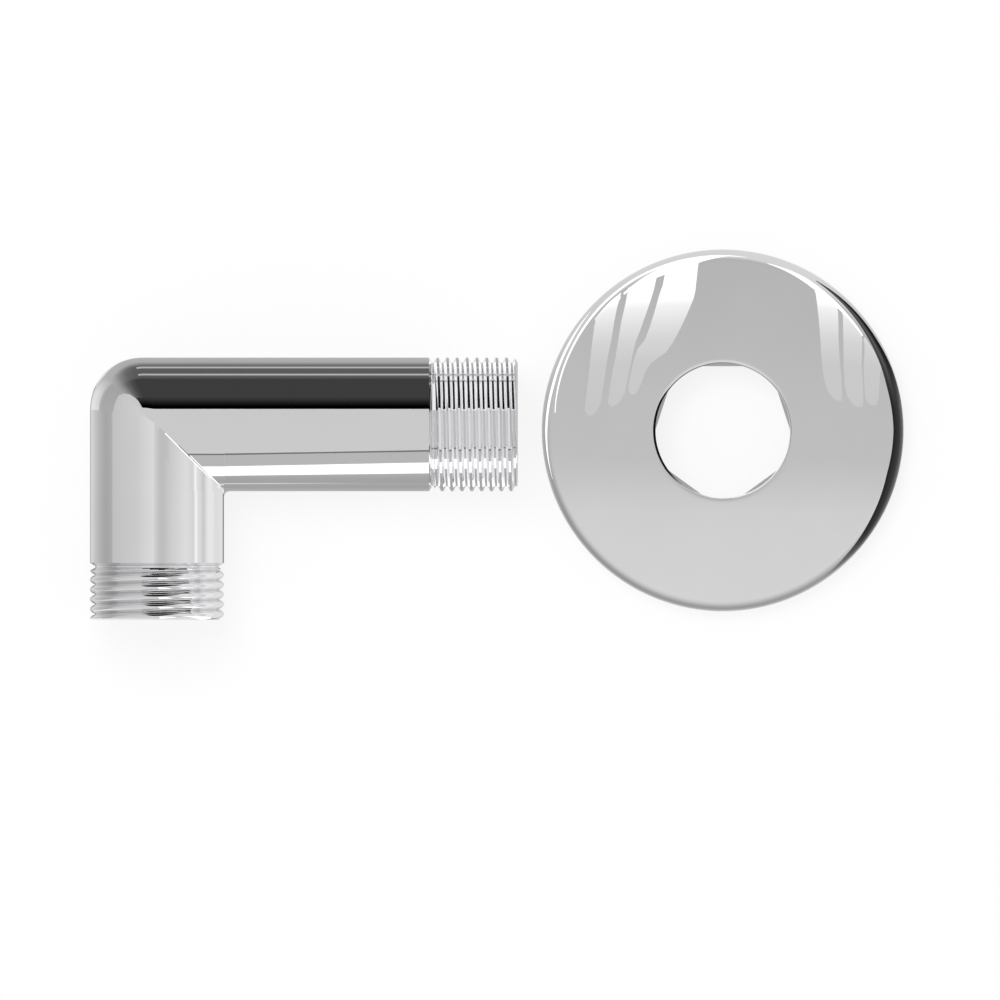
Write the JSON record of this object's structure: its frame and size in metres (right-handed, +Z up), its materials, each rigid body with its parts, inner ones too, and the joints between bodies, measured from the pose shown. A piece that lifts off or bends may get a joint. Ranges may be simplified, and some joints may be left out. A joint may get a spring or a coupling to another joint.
{
  "type": "wall outlet elbow",
  "caption": "Chrome right-angle shower wall outlet with a male pipe thread on each arm, unfitted, beside the round domed flange that covers its wall opening.",
  "frame": {"origin": "on the surface that both pieces lie on, under the middle of their common box", "axes": "+X along the elbow's wall arm, towards its threaded end; -Y along the outlet arm, towards its threaded end; +Z up, square to the plane of the two arms and out of the flange's face"},
  "size_m": [0.1274, 0.058, 0.021],
  "materials": {
    "elbow_chrome": "polished chrome plating",
    "flange_chrome": "polished chrome plating"
  },
  "bodies": {
    "root": {"elbow": "elbow_chrome", "wall_flange": "flange_chrome"}
  },
  "joints": []
}
